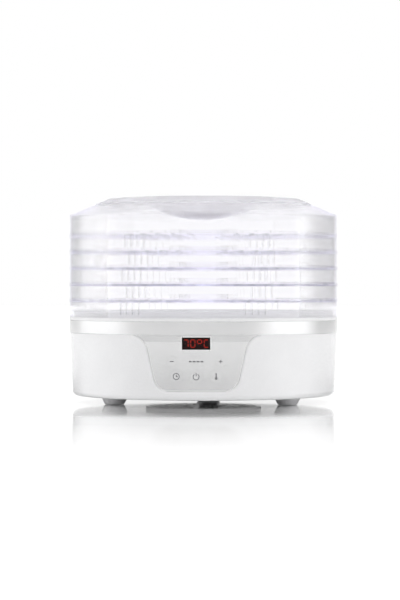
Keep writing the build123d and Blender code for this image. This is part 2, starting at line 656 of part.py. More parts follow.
def upper_deck():
    """White top of the base: outer rim, raised middle that the lowest tray fits around, screw posts."""
    rise = WALL_INNER - RIB_DEPTH - LIP_CLEARANCE
    wall = rise - DECK_THICKNESS
    edge = DECK_EDGE_RADIUS
    spigot = SEAT_INNER - DECK_SPIGOT_GAP
    seat = OUTLET_RADIUS + OUTLET_SEAT_WIDTH
    seat_z = DECK_TOP_Z - OUTLET_GRILLE_THICKNESS
    deck = turned([
        (OUTLET_RADIUS, seat_z),
        (seat, seat_z),
        (seat, DECK_TOP_Z),
        (rise - edge, DECK_TOP_Z),
        (rise - edge / 3, DECK_TOP_Z - edge / 3),
        (rise, DECK_TOP_Z - edge),
        (rise, STACK_Z),
        (DECK_RIM_RADIUS - FLANGE_EDGE, STACK_Z),
        (DECK_RIM_RADIUS, STACK_Z - FLANGE_EDGE),
        (DECK_RIM_RADIUS, DECK_Z + FLANGE_EDGE),
        (DECK_RIM_RADIUS - FLANGE_EDGE, DECK_Z),
        (spigot, DECK_Z),
        (spigot, DECK_Z - DECK_SPIGOT_DEPTH),
        (spigot - DECK_THICKNESS, DECK_Z - DECK_SPIGOT_DEPTH),
        (spigot - DECK_THICKNESS, DECK_Z),
        (wall - edge, DECK_UNDER_Z - edge),
        (wall - 2 * edge, DECK_UNDER_Z),
        (OUTLET_RADIUS, DECK_UNDER_Z),
    ])
    posts = []
    pilots = []
    pilot_top = case_screw_seat() + CASE_SCREW_LENGTH + PILOT_END
    for angle in post_angles():
        place = around(POST_CIRCLE_RADIUS, angle)
        posts.append(disc(POST_RADIUS, LEDGE_TOP_Z, DECK_UNDER_Z + DECK_THICKNESS / 2, place))
        pilots.append(disc(PILOT_RADIUS, LEDGE_TOP_Z - CUT, pilot_top, place))
    return deck + posts - pilots


def outlet_grille():
    """Flush round grille over the warm air outlet, solid in the middle so that drips miss the heater."""
    slots = slot_rings(OUTLET_HUB_RADIUS, OUTLET_RADIUS - OUTLET_SEAT_WIDTH, OUTLET_SLOT_WIDTH, OUTLET_SLOTS)
    radius = OUTLET_RADIUS + OUTLET_SEAT_WIDTH - OUTLET_GRILLE_GAP
    return slotted_plate(radius, DECK_TOP_Z - OUTLET_GRILLE_THICKNESS, OUTLET_GRILLE_THICKNESS, slots)


# --- underside --------------------------------------------------------------------------------
def case_screw_seat():
    return PLATE_TOP_Z - CASE_SCREW_SINK


def foot_boss_top():
    return FOOT_SEAT_HEIGHT + FOOT_SCREW_LENGTH + PILOT_END + PILOT_CAP


def bottom_plate():
    """Underside cover with a sunk air intake grille, bracket posts, foot bosses and board posts."""
    wall = PLATE_THICKNESS
    cup_z = HOUSING_Z - INTAKE_DROP
    plate = ring(PLATE_RADIUS, INTAKE_RADIUS, HOUSING_Z, PLATE_TOP_Z)
    cup = ring(INTAKE_RADIUS + wall, INTAKE_RADIUS, cup_z, PLATE_TOP_Z)
    slots = slot_rings(INTAKE_HUB_RADIUS, INTAKE_RADIUS - INTAKE_RIM, INTAKE_SLOT_WIDTH, INTAKE_SLOTS)
    solids = [cup, slotted_plate(INTAKE_RADIUS + wall / 2, cup_z, wall, slots)]
    holes = []
    root = PLATE_TOP_Z - wall / 2
    for angle in bracket_angles():
        place = around(BRACKET_POST_CIRCLE, angle)
        screw_end = BRACKET_Z + BRACKET_THICKNESS - BRACKET_SCREW_LENGTH
        solids.append(disc(POST_RADIUS, root, BRACKET_Z, place))
        holes.append(disc(PILOT_RADIUS, screw_end - PILOT_END, BRACKET_Z + CUT, place))
    for angle in FEET.values():
        place = around(FOOT_CIRCLE_RADIUS, angle)
        solids.append(disc(POST_RADIUS, root, foot_boss_top(), place))
        holes.append(disc(PILOT_RADIUS, HOUSING_Z - CUT, foot_boss_top() - PILOT_CAP, place))
    for x, y in power_board_corners():
        screw_end = POWER_BOARD_Z + BOARD_THICKNESS - POWER_BOARD_SCREW_LENGTH
        solids.append(disc(POWER_POST_RADIUS, root, POWER_BOARD_Z, (x, y)))
        holes.append(disc(PILOT_RADIUS, screw_end - PILOT_END, POWER_BOARD_Z + CUT, (x, y)))
    for angle in post_angles():
        place = around(POST_CIRCLE_RADIUS, angle)
        holes.append(disc(SCREW_HOLE_RADIUS, HOUSING_Z - CUT, PLATE_TOP_Z + CUT, place))
        holes.append(disc(SCREW_RECESS_RADIUS, HOUSING_Z - CUT, case_screw_seat(), place))
    return plate + solids - holes


def foot(angle):
    """A tapered foot, hollow underneath for its screw head."""
    body = turned([
        (0, 0),
        (FOOT_BOTTOM_RADIUS - FOOT_EDGE, 0),
        (FOOT_BOTTOM_RADIUS, FOOT_EDGE),
        (FOOT_TOP_RADIUS, FOOT_HEIGHT - FOOT_EDGE),
        (FOOT_TOP_RADIUS, FOOT_HEIGHT),
        (0, FOOT_HEIGHT),
    ])
    body -= disc(SCREW_HEAD_RADIUS + FOOT_RECESS_GAP, -CUT, FOOT_SEAT_HEIGHT)
    body -= disc(SCREW_HOLE_RADIUS, 0, FOOT_HEIGHT + CUT)
    return Pos(*around(FOOT_CIRCLE_RADIUS, angle)) * body


def save_underside():
    save("bottom_plate", bottom_plate())
    for name, angle in FEET.items():
        save(name, foot(angle))
    foot_screw = screw(FOOT_SCREW_LENGTH)
    places = [around(FOOT_CIRCLE_RADIUS, angle, FOOT_SEAT_HEIGHT) for angle in FEET.values()]
    save_group("foot_screws", [Pos(*place) * foot_screw for place in places])
    case_screw = screw(CASE_SCREW_LENGTH)
    places = [around(POST_CIRCLE_RADIUS, angle, case_screw_seat()) for angle in post_angles()]
    save_group("case_screws", [Pos(*place) * case_screw for place in places])


# --- fan, heater and their metalwork ------------------------------------------------------------
def motor_bracket():
    top = BRACKET_Z + BRACKET_THICKNESS
    plate = disc(MOTOR_RADIUS + BRACKET_RIM, BRACKET_Z, top)
    half = BRACKET_ARM_WIDTH / 2
    arm = block((-half, -BRACKET_POST_CIRCLE, BRACKET_Z), (half, 0, top))
    arms = []
    holes = [disc(BRACKET_HOLE_RADIUS, BRACKET_Z - CUT, top + CUT)]
    for angle in bracket_angles():
        place = around(BRACKET_POST_CIRCLE, angle)
        arms += [Rot(0, 0, angle) * arm, disc(half, BRACKET_Z, top, place)]
        holes.append(disc(SCREW_HOLE_RADIUS, BRACKET_Z - CUT, top + CUT, place))
    return plate + arms - holes


def fan_motor():
    """Round motor can with a stepped nose; the shaft turns in its bore."""
    shoulder = MOTOR_TOP_Z - MOTOR_NOSE_HEIGHT
    slant = MOTOR_NOSE_HEIGHT
    can = turned([
        (0, MOTOR_Z),
        (MOTOR_RADIUS - MOTOR_EDGE, MOTOR_Z),
        (MOTOR_RADIUS, MOTOR_Z + MOTOR_EDGE),
        (MOTOR_RADIUS, shoulder - slant),
        (MOTOR_RADIUS - slant, shoulder),
        (MOTOR_NOSE_RADIUS, shoulder),
        (MOTOR_NOSE_RADIUS, MOTOR_TOP_Z),
        (0, MOTOR_TOP_Z),
    ])
    return can - disc(SHAFT_RADIUS + SHAFT_CLEARANCE, SHAFT_Z - SHAFT_BORE_END, MOTOR_TOP_Z + CUT)


def motor_shaft():
    return disc(SHAFT_RADIUS, SHAFT_Z, SHAFT_TOP_Z)


def fan_impeller():
    """Axial fan: a capped hub and pitched blades."""
    hub = disc(FAN_HUB_RADIUS, FAN_Z, FAN_TOP_Z)
    hub = fillet(hub.edges().group_by(Axis.Z)[-1], FAN_HUB_EDGE)
    depth = (FAN_HEIGHT - FAN_BLADE_THICKNESS) / math.sin(math.radians(FAN_BLADE_PITCH))
    blade = block(
        (-depth / 2, -FAN_RADIUS, -FAN_BLADE_THICKNESS / 2),
        (depth / 2, FAN_HUB_EDGE - FAN_HUB_RADIUS, FAN_BLADE_THICKNESS / 2),
    )
    blade = Pos(0, 0, (FAN_Z + FAN_TOP_Z) / 2) * Rot(0, FAN_BLADE_PITCH, 0) * blade
    blades = [Rot(0, 0, angle) * blade for angle in even_angles(FAN_BLADES)]
    fan = (hub + blades) & disc(FAN_RADIUS, FAN_Z, FAN_TOP_Z)
    return fan - disc(SHAFT_RADIUS, FAN_Z - CUT, SHAFT_TOP_Z)


def crossed_plates(reach, half, low, high):
    along_x = block((-reach, -half, low), (reach, half, high))
    return [along_x, Rot(0, 0, 90) * along_x]


def air_duct():
    """Sheet-metal sleeve around the fan and heater, flanged against the underside of the deck."""
    outer = DUCT_RADIUS + DUCT_WALL
    sleeve = ring(outer, DUCT_RADIUS, DECK_UNDER_Z - DUCT_HEIGHT, DECK_UNDER_Z)
    flange = ring(DUCT_RADIUS + DUCT_FLANGE_WIDTH, DUCT_RADIUS, DECK_UNDER_Z - DUCT_WALL, DECK_UNDER_Z)
    half = HEATER_FRAME_THICKNESS / 2 + HEATER_CLEARANCE
    tab = HEATER_TAB_HEIGHT / 2 + HEATER_CLEARANCE
    return sleeve + flange - crossed_plates(outer + CUT, half, COIL_Z - tab, COIL_Z + tab)


def coils(wire_radius):
    return [Pos(0, 0, COIL_Z) * Torus(radius, wire_radius) for radius in HEATER_RADII]


def heater_frame():
    """Two crossed mica plates that carry the heating coils, their tabs through the duct wall."""
    half = HEATER_FRAME_THICKNESS / 2
    tab = HEATER_TAB_HEIGHT / 2
    tab_reach = DUCT_RADIUS + DUCT_WALL + HEATER_FRAME_THICKNESS
    plates = crossed_plates(DUCT_RADIUS - HEATER_CLEARANCE, half, HEATER_Z, HEATER_TOP_Z)
    plates += crossed_plates(tab_reach, half, COIL_Z - tab, COIL_Z + tab)
    return plates[0] + plates[1:] - coils(HEATER_COIL_RADIUS + HEATER_CLEARANCE)


def save_fan_and_heater():
    save("motor_bracket", motor_bracket())
    save("fan_motor", fan_motor())
    save("motor_shaft", motor_shaft())
    save("fan_impeller", fan_impeller())
    save("air_duct", air_duct())
    save("heater_frame", heater_frame())
    save_group("heater_coils", coils(HEATER_COIL_RADIUS))
    bracket_screw = Rot(180, 0, 0) * screw(BRACKET_SCREW_LENGTH)
    places = [around(BRACKET_POST_CIRCLE, angle, BRACKET_Z + BRACKET_THICKNESS) for angle in bracket_angles()]
    save_group("bracket_screws", [Pos(*place) * bracket_screw for place in places])
    outer = DUCT_RADIUS + DUCT_WALL
    cap_height = (THERMOSTAT_HEIGHT + THERMOSTAT_CAP_HEIGHT) / 2
    thermostat = Cylinder(THERMOSTAT_RADIUS, THERMOSTAT_HEIGHT)
    thermostat += Pos(0, 0, cap_height) * Cylinder(THERMOSTAT_CAP_RADIUS, THERMOSTAT_CAP_HEIGHT)
    thermostat = Pos(outer + THERMOSTAT_HEIGHT / 2, 0, COIL_Z) * Rot(0, 90, 0) * thermostat
    save("thermostat", Rot(0, 0, THERMOSTAT_ANGLE) * thermostat)
    fuse = Cylinder(FUSE_RADIUS, FUSE_LENGTH) + Cylinder(FUSE_LEAD_RADIUS, FUSE_LEAD_LENGTH)
    save("thermal_fuse", Rot(0, 0, FUSE_ANGLE) * Pos(outer + FUSE_RADIUS, 0, COIL_Z) * fuse)


# --- electronics ----------------------------------------------------------------------------------
def power_board_corners():
    half = POWER_BOARD_WIDTH / 2 - POWER_BOARD_HOLE_INSET
    front = POWER_BOARD_FRONT + POWER_BOARD_HOLE_INSET
    back = POWER_BOARD_FRONT + POWER_BOARD_DEPTH - POWER_BOARD_HOLE_INSET
    return [(x, y) for x in (-half, half) for y in (front, back)]


def power_board():
    half = POWER_BOARD_WIDTH / 2
    top = POWER_BOARD_Z + BOARD_THICKNESS
    back = POWER_BOARD_FRONT + POWER_BOARD_DEPTH
    board = block((-half, POWER_BOARD_FRONT, POWER_BOARD_Z), (half, back, top))
    low = POWER_BOARD_Z - CUT
    return board - [disc(SCREW_HOLE_RADIUS, low, top + CUT, place) for place in power_board_corners()]


def save_power_board():
    top = POWER_BOARD_Z + BOARD_THICKNESS
    save("power_board", power_board())
    x, y = TRANSFORMER_PLACE
    core = standing_block(CORE_SIZE, x, POWER_BOARD_FRONT + y, top + CORE_LIFT)
    bobbin = standing_block(BOBBIN_SIZE, x, POWER_BOARD_FRONT + y, top)
    save("transformer", chamfer((core + bobbin).edges().filter_by(Axis.Z), TRANSFORMER_EDGE))
    x, y = RELAY_PLACE
    relay = standing_block(RELAY_SIZE, x, POWER_BOARD_FRONT + y, top)
    save("relay", chamfer(relay.edges(), RELAY_EDGE))
    cans = []
    for x, y, radius, height in CAPACITORS:
        can = disc(radius, top, top + height, (x, POWER_BOARD_FRONT + y))
        cans.append(chamfer(can.edges().group_by(Axis.Z)[-1], CAPACITOR_EDGE))
    save_group("capacitors", cans)
    board_screw = Rot(180, 0, 0) * screw(POWER_BOARD_SCREW_LENGTH)
    save_group("power_board_screws", [Pos(x, y, top) * board_screw for x, y in power_board_corners()])


def control_board_corners():
    half = BOARD_WIDTH / 2 - BOARD_HOLE_INSET
    heights = (BOARD_Z + BOARD_HOLE_INSET, BOARD_Z + BOARD_HEIGHT - BOARD_HOLE_INSET)
    return [(x, z) for x in (-half, half) for z in heights]


def board_mount():
    """Frame inside the housing that the control board is screwed to."""
    front = BOARD_THICKNESS - BOARD_FRONT
    back = front + MOUNT_THICKNESS
    half = BOARD_WIDTH / 2
    top = BOARD_Z + BOARD_HEIGHT
    frame = block((-half, front, LEDGE_TOP_Z), (half, back, top))
    frame -= block(
        (MOUNT_BORDER - half, front - CUT, BOARD_Z + MOUNT_BORDER),
        (half - MOUNT_BORDER, back + CUT, top - MOUNT_BORDER),
    )
    foot_back = MOUNT_FOOT_OVERHANG - LEDGE_INNER
    foot_plate = block((-half, front, LEDGE_TOP_Z), (half, foot_back, LEDGE_TOP_Z + MOUNT_THICKNESS))
    holes = [rod(PILOT_RADIUS, x, z, SPREAD / 2, 0) for x, z in control_board_corners()]
    return frame + foot_plate - holes


def control_board():
    half = BOARD_WIDTH / 2
    back = BOARD_THICKNESS - BOARD_FRONT
    board = block((-half, -BOARD_FRONT, BOARD_Z), (half, back, BOARD_Z + BOARD_HEIGHT))
    return board - [rod(SCREW_HOLE_RADIUS, x, z, SPREAD / 2, 0) for x, z in control_board_corners()]


def key(x, z, radius):
    """A key cap flush with the fascia, its retaining flange behind it and its stem to the switch."""
    flange_radius = radius + KEY_FLANGE
    skin = housing_radius(z - radius) - FASCIA_RECESS - FASCIA_THICKNESS
    flange_front = math.sqrt(skin ** 2 - (abs(x) + flange_radius) ** 2) - KEY_FLANGE_GAP - KEY_FLANGE
    flange_back = flange_front - KEY_FLANGE_THICKNESS
    stem_back = BOARD_FRONT + SWITCH_HEIGHT + KEY_TRAVEL + KEY_END_GAP
    cap = rod(radius, x, z, SPREAD / 2, flange_front) & inside_fascia()
    flange = rod(flange_radius, x, z, flange_front, flange_back)
    return cap + flange + rod(KEY_STEM_RADIUS, x, z, flange_back, stem_back)


def inside_fascia():
    """The whole inside of the fascia surface, which trims the front of each key cap."""
    bend_z = BAND_Z - FASCIA_BEND_HEIGHT
    low_z = HOUSING_Z + HOUSING_EDGE_RADIUS
    low = housing_radius(low_z) - FASCIA_RECESS
    high = housing_radius(bend_z) - FASCIA_RECESS
    return turned([(0, low_z), (low, low_z), (high, bend_z), (0, bend_z)])


def display_window():
    """Smoked lens, its face on the line of the fascia below the bend."""
    half_width = WINDOW_WIDTH / 2 - WINDOW_GAP
    half_height = WINDOW_HEIGHT / 2 - WINDOW_GAP
    low, high = WINDOW_Z - half_height, WINDOW_Z + half_height
    lens = block((-half_width, -SPREAD / 2, low), (half_width, 0, high))
    skin = [(housing_radius(z) - FASCIA_RECESS, z) for z in (low - CUT, high + CUT)]
    behind = [(radius - FASCIA_THICKNESS, z) for radius, z in reversed(skin)]
    return lens & turned(skin + behind)


def display_module():
    """Four-character LED block that stands on the control board behind the window."""
    lens_back = housing_radius(WINDOW_Z - WINDOW_HEIGHT / 2) - FASCIA_RECESS - FASCIA_THICKNESS
    front = math.sqrt(lens_back ** 2 - (WINDOW_WIDTH / 2) ** 2) - DISPLAY_GAP
    body = block(
        (-DISPLAY_WIDTH / 2, -front, WINDOW_Z - DISPLAY_HEIGHT / 2),
        (DISPLAY_WIDTH / 2, -BOARD_FRONT, WINDOW_Z + DISPLAY_HEIGHT / 2),
    )
    return chamfer(body.edges().filter_by(Axis.Y), DISPLAY_EDGE)


def tact_switch():
    """A square switch standing on the board's face at y = 0, its plunger towards the front."""
    body_height = SWITCH_HEIGHT - SWITCH_PLUNGER_HEIGHT
    half = SWITCH_SIZE / 2
    body = block((-half, -body_height, -half), (half, 0, half))
    return body + rod(SWITCH_PLUNGER_RADIUS, 0, 0, SWITCH_HEIGHT, 0)


def save_controls():
    save("control_board", control_board())
    save("board_mount", board_mount())
    for name, (x, z, radius) in KEYS.items():
        save(name, key(x, z, radius))
    save("display_window", display_window())
    save("display_module", display_module())
    switch = tact_switch()
    save_group("tact_switches", [Pos(x, -BOARD_FRONT, z) * switch for x, z, _ in KEYS.values()])
    board_screw = Rot(-90, 0, 0) * screw(CONTROL_BOARD_SCREW_LENGTH)
    screws = [Pos(x, -BOARD_FRONT, z) * board_screw for x, z in control_board_corners()]
    save_group("control_board_screws", screws)


def cord_bushing():
    """Moulded bushing in the back wall that the supply cord passes through."""
    z = HOUSING_Z + BUSHING_HEIGHT
    skin = housing_radius(z)
    back = skin + BUSHING_FLANGE_THICKNESS
    body = rod(BUSHING_RADIUS, 0, z, BUSHING_TAIL + HOUSING_WALL - skin, -back)
    skin_line = [(HOUSING_BOTTOM_RADIUS, HOUSING_Z), (HOUSING_TOP_RADIUS, BAND_Z)]
    wall = turned([(0, HOUSING_Z), *skin_line, (0, BAND_Z)])
    flange = rod(BUSHING_FLANGE_RADIUS, 0, z, CUT - skin, -back) - wall
    return body + flange - rod(BUSHING_BORE_RADIUS, 0, z, 0, -SPREAD / 2)


def main():
    save("lid", lid())
    save_trays()
    save("base_housing", base_housing())
    save("trim_fascia", trim_fascia())
    save("upper_deck", upper_deck())
    save("outlet_grille", outlet_grille())
    save("cord_bushing", cord_bushing())
    save_underside()
    save_fan_and_heater()
    save_power_board()
    save_controls()


main()
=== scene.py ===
import bpy
import bmesh
import json
import math
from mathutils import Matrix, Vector
from mathutils.bvhtree import BVHTree


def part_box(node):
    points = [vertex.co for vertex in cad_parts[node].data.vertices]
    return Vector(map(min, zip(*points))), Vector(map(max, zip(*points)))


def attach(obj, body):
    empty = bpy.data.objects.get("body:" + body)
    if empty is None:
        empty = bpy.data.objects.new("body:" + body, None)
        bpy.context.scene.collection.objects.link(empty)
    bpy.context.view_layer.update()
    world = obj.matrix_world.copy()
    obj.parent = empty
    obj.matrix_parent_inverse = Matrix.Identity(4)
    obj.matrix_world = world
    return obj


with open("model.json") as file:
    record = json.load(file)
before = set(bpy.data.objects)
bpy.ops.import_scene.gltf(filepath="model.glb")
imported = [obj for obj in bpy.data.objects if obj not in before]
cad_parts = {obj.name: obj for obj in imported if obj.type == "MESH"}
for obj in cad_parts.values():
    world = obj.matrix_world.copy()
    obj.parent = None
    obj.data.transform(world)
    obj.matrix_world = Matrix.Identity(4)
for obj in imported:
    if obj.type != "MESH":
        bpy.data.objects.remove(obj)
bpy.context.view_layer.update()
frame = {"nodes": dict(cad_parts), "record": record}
NODES = frame["nodes"]
SLOT_OF = {part["node"]: part["material_slot"] for part in frame["record"]["subparts"]}
MM = 0.001                      # one millimetre in the scene's metres

# --- the photograph's viewpoint: a level camera, in metres, its lens and sensor in millimetres ---
CAMERA_DISTANCE = 2.600
CAMERA_HEIGHT = 0.1356
CAMERA_TURN = math.radians(3.05)
CAMERA_LENS = 128.6
CAMERA_SENSOR = 36
CAMERA_SHIFT = (-3.5 / 600, -10.0 / 600)
CAMERA_REACH = 100

# --- clear plastic of the trays and the lid -------------------------------------------------------
CLEAR_TINT = (0.965, 0.96, 0.995)
CLEAR_IOR = 1.38
RIPPLE_SCALE, RIPPLE_DEPTH, RIPPLE_STRENGTH = 55, 0.00012, 0.5
SOAK_COLOUR = (0.6, 0.57, 0.9)  # what is left of white light on its way through the plastic
SOAK_DENSITY = 5.0
FROST_RADIUS = 0.131            # the lid's top is frosted inside its clear bevel
FROST_EDGE = 0.0004
FROST_COLOUR = (0.985, 0.975, 1.0)
FROST_ROUGHNESS = 0.5
FROST_ALPHA = 0.68

# Two tones, roughness from and to, grain in waves per metre and its depth, coat, metallic
PLASTICS = {
    "white_abs": ((0.86, 0.86, 0.87), (0.89, 0.89, 0.9), (0.22, 0.34), 1400, 2e-5, 0.3, 0.0),
    "satin_silver": ((0.79, 0.79, 0.795), (0.83, 0.83, 0.835), (0.2, 0.28), 2600, 1e-5, 0.2, 0.8),
    "dark_plastic": ((0.02, 0.02, 0.022), (0.035, 0.035, 0.04), (0.35, 0.5), 1500, 3e-5, 0.0, 0.0),
    "grey_plastic": ((0.1, 0.1, 0.11), (0.14, 0.14, 0.15), (0.4, 0.55), 1200, 3e-5, 0.0, 0.0),
    "grey_rubber": ((0.87, 0.87, 0.88), (0.91, 0.91, 0.92), (0.5, 0.65), 1800, 4e-5, 0.0, 0.0),
    "mica": ((0.42, 0.35, 0.24), (0.56, 0.49, 0.36), (0.3, 0.6), 300, 5e-5, 0.0, 0.0),
    "ceramic_white": ((0.8, 0.78, 0.74), (0.86, 0.84, 0.8), (0.3, 0.45), 900, 3e-5, 0.0, 0.0),
    "print_grey": ((0.2, 0.2, 0.21), (0.24, 0.24, 0.25), (0.45, 0.55), 2000, 5e-6, 0.0, 0.0),
    "print_white": ((0.9, 0.9, 0.9), (0.93, 0.93, 0.93), (0.4, 0.5), 2000, 5e-6, 0.0, 0.0),
}
# Two tones, roughness from and to, and the stretch that turns the grain into drawn lines
METALS = {
    "zinc_steel": ((0.6, 0.61, 0.63), (0.72, 0.73, 0.74), (0.25, 0.4), (1, 1, 0.2)),
    "galvanised_steel": ((0.5, 0.52, 0.54), (0.66, 0.67, 0.69), (0.3, 0.5), (0.1, 0.1, 1)),
    "dark_metal": ((0.08, 0.08, 0.09), (0.16, 0.16, 0.17), (0.4, 0.6), (1, 1, 6)),
    "heater_wire": ((0.2, 0.18, 0.17), (0.34, 0.3, 0.27), (0.35, 0.6), (1, 1, 1)),
}
METAL_GRAIN, METAL_DEPTH = 700, 2e-5
COAT_ROUGHNESS = 0.08
NOISE_RANGE = (0.3, 0.7)        # where nearly all of a noise lies
TONE_STOPS = (0.35, 0.65)       # where a two-tone ramp leaves one colour and reaches the other
LENS_COLOUR = (0.42, 0.2, 0.2)
LENS_IOR = 1.2
LED_GLOW = (1.0, 0.12, 0.06)

# --- printed and lit pieces on the front ----------------------------------------------------------
PRINT_PROUD, DIGIT_PROUD = 0.04 * MM, 0.12 * MM
RIBBON_THICK = 0.1 * MM
ARC_STEPS, LINE_STEPS = 20, 4
WELD_DISTANCE = 1e-7
DIGIT_PITCH = 7.7 * MM
DIGIT_HALF_WIDTH, DIGIT_HALF_HEIGHT = 2.4 * MM, 2.1 * MM
DIGIT_GAP, DIGIT_STROKE = 0.55 * MM, 0.8 * MM
# Corners of the seven segments, in half widths and half heights
SEGMENTS = {
    "a": ((-1, 2), (1, 2)), "b": ((1, 2), (1, 0)), "c": ((1, 0), (1, -2)), "d": ((-1, -2), (1, -2)),
    "e": ((-1, 0), (-1, -2)), "f": ((-1, 2), (-1, 0)), "g": ((-1, 0), (1, 0)),
}
READOUT = ("abc", "abcdef", "abfg", "adef")     # 7, 0, degree, C
BORDER_OUT, BORDER_WIDTH = 0.75 * MM, 1.0 * MM
BORDER_STEPS = (12, 4)          # along the window's width and its height
# The control panel's edge line is a painted highlight, standing in for light caught by its bevel
EDGE_INSET, EDGE_WIDTH = 0.6 * MM, 0.9 * MM
EDGE_SIDE_STEPS, EDGE_FOOT_STEPS = 44, 24
EDGE_START = 2 * MM             # below the display window's middle
PANEL_MARGIN_SIDE, PANEL_MARGIN_FOOT = 0.1 * MM, 0.2 * MM
SCAN_START = 0.12               # beyond the widest point of the panel
SCAN_HALVINGS = 8

# --- studio ---------------------------------------------------------------------------------------
FLOOR_SIZE = 30
FLOOR_DROP = 0.0003
FLOOR_ROUGHNESS = 0.06
# Share of mirror reflection in the white floor, by distance in metres from its middle
FLOOR_GLOSS = ((0.0, 0.8), (0.2, 0.8), (0.45, 0.68), (0.6, 0.38), (0.75, 0.18), (1.0, 0.0))
# Brightness of the floor, with a painted shadow: its colour is darkened where the base stands over
# it
FLOOR_PAINTED_SHADOW = ((0.0, 0.5), (0.09, 0.5), (0.13, 0.95))
# Brightness round the horizon, by degrees from the camera's side towards +X, with a soft box at
# each side. It lights the scene and shows in reflections; the camera itself sees plain white,
# and so does what it sees through clear plastic.
HORIZON = (
    (-180, 1.1), (-168, 1.1), (-160, 0.1), (-136, 0.1), (-120, 1.65), (-78, 1.65), (-60, 0.5),
    (46, 0.5), (66, 1.7), (100, 1.7), (118, 0.05), (158, 0.05), (166, 1.1), (180, 1.1),
)
CEILING = 1.35
CEILING_RISE = (0.45, 0.75)     # Z of the directions between which the ceiling takes over
WHITE = (1, 1, 1, 1)


# --- shader nodes ---------------------------------------------------------------------------------
def new_material(name):
    """A material with its node lists and its Principled shader."""
    material = bpy.data.materials.new(name)
    material.use_nodes = True
    nodes = material.node_tree.nodes
    shader = nodes["Principled BSDF"]
    return material, nodes, material.node_tree.links, shader


def of_type(sockets, kind):
    """The sockets of one type, since a mix node has a set for each kind of value."""
    return [socket for socket in sockets if socket.type == kind]


def feed(links, socket, value):
    """Gives a socket a constant, or links another socket to it."""
    if isinstance(value, bpy.types.NodeSocket):
        links.new(value, socket)
    else:
        socket.default_value = value


def calculate(nodes, links, kind, operation, *values):
    """A number or vector maths node, each of its inputs a constant or a socket."""
    node = nodes.new(kind)
    node.operation = operation
    for socket, value in zip(node.inputs, values):
        feed(links, socket, value)
    return node


def blend(nodes, links, factor, first, second, kind="VALUE"):
    """Between two numbers, or two colours (RGBA), each a constant or a socket."""
    mix = nodes.new("ShaderNodeMix")
    mix.data_type = "FLOAT" if kind == "VALUE" else kind
    links.new(factor, mix.inputs["Factor"])
    for socket, value in zip(of_type(mix.inputs, kind)[-2:], (first, second)):
        feed(links, socket, value)
    return of_type(mix.outputs, kind)[0]


def mix_shaders(nodes, links, factor, first, second):
    """Between two shaders."""
    mix = nodes.new("ShaderNodeMixShader")
    for socket, value in zip(mix.inputs, (factor, first, second)):
        links.new(value, socket)
    return mix.outputs["Shader"]


def object_noise(nodes, links, scale, detail, stretch=(1, 1, 1)):
    """Noise in the object's own space, its scale in waves per metre."""
    place = nodes.new("ShaderNodeTexCoord")
    mapping = nodes.new("ShaderNodeMapping")
    mapping.inputs["Scale"].default_value = stretch
    noise = nodes.new("ShaderNodeTexNoise")
    noise.inputs["Scale"].default_value = scale
    noise.inputs["Detail"].default_value = detail
    links.new(place.outputs["Object"], mapping.inputs["Vector"])
    links.new(mapping.outputs["Vector"], noise.inputs["Vector"])
    return noise.outputs["Fac"]


def map_range(nodes, links, value, source, target=(0.0, 1.0), interpolation="LINEAR"):
    """Maps a number from one range onto another, clamped at its ends."""
    ranged = nodes.new("ShaderNodeMapRange")
    ranged.interpolation_type = interpolation
    ends = zip(("From Min", "From Max", "To Min", "To Max"), (*source, *target))
    for socket, number in ends:
        ranged.inputs[socket].default_value = number
    links.new(value, ranged.inputs["Value"])
    return ranged.outputs["Result"]


def spread(nodes, links, noise, low, high):
    """Maps a noise onto a range of its own."""
    return map_range(nodes, links, noise, NOISE_RANGE, (low, high))


def two_tone(nodes, links, noise, first, second):
    """Turns a noise into patches of two colours."""
    ramp = nodes.new("ShaderNodeValToRGB")
    for element, position, colour in zip(ramp.color_ramp.elements, TONE_STOPS, (first, second)):
        element.position = position
        element.color = (*colour, 1)
    links.new(noise, ramp.inputs["Fac"])
    return ramp.outputs["Color"]


def grey_ramp(nodes, links, value, stops):
    """A colour ramp of greys, its stops given as (position, level)."""
    ramp = nodes.new("ShaderNodeValToRGB")
    elements = ramp.color_ramp.elements
    elements.remove(elements[-1])
    for number, (position, level) in enumerate(stops):
        element = elements[0] if number == 0 else elements.new(position)
        element.position = position
        element.color = (level, level, level, 1)
    links.new(value, ramp.inputs["Fac"])
    return ramp.outputs["Color"]


def add_bump(nodes, links, shader, height, distance, strength=1.0):
    """Fine relief from a noise, its distance in metres."""
    bump = nodes.new("ShaderNodeBump")
    bump.inputs["Distance"].default_value = distance
    bump.inputs["Strength"].default_value = strength
    links.new(height, bump.inputs["Height"])
    links.new(bump.outputs["Normal"], shader.inputs["Normal"])


def inside_radius(nodes, links, radius):
    """1 within a radius of the object's own Z axis, 0 outside it."""
    place = nodes.new("ShaderNodeTexCoord")
    vector_maths = "ShaderNodeVectorMath"
    flat = calculate(nodes, links, vector_maths, "MULTIPLY", place.outputs["Object"], (1, 1, 0))
    length = calculate(nodes, links, vector_maths, "LENGTH", flat.outputs["Vector"])
    return map_range(
        nodes, links, length.outputs["Value"], (radius - FROST_EDGE, radius), (1.0, 0.0))


# --- materials ------------------------------------------------------------------------------------
def plastic(name, first, second, rough, grain, depth, coat, metallic):
    """Moulded plastic or lacquer: two close tones, uneven gloss and a fine mould texture."""
    material, nodes, links, shader = new_material(name)
    broad = object_noise(nodes, links, 22, 2)
    fine = object_noise(nodes, links, grain, 4)
    links.new(two_tone(nodes, links, broad, first, second), shader.inputs["Base Color"])
    links.new(spread(nodes, links, fine, *rough), shader.inputs["Roughness"])
    add_bump(nodes, links, shader, fine, depth)
    shader.inputs["Coat Weight"].default_value = coat
    shader.inputs["Coat Roughness"].default_value = COAT_ROUGHNESS
    shader.inputs["Metallic"].default_value = metallic
    return material


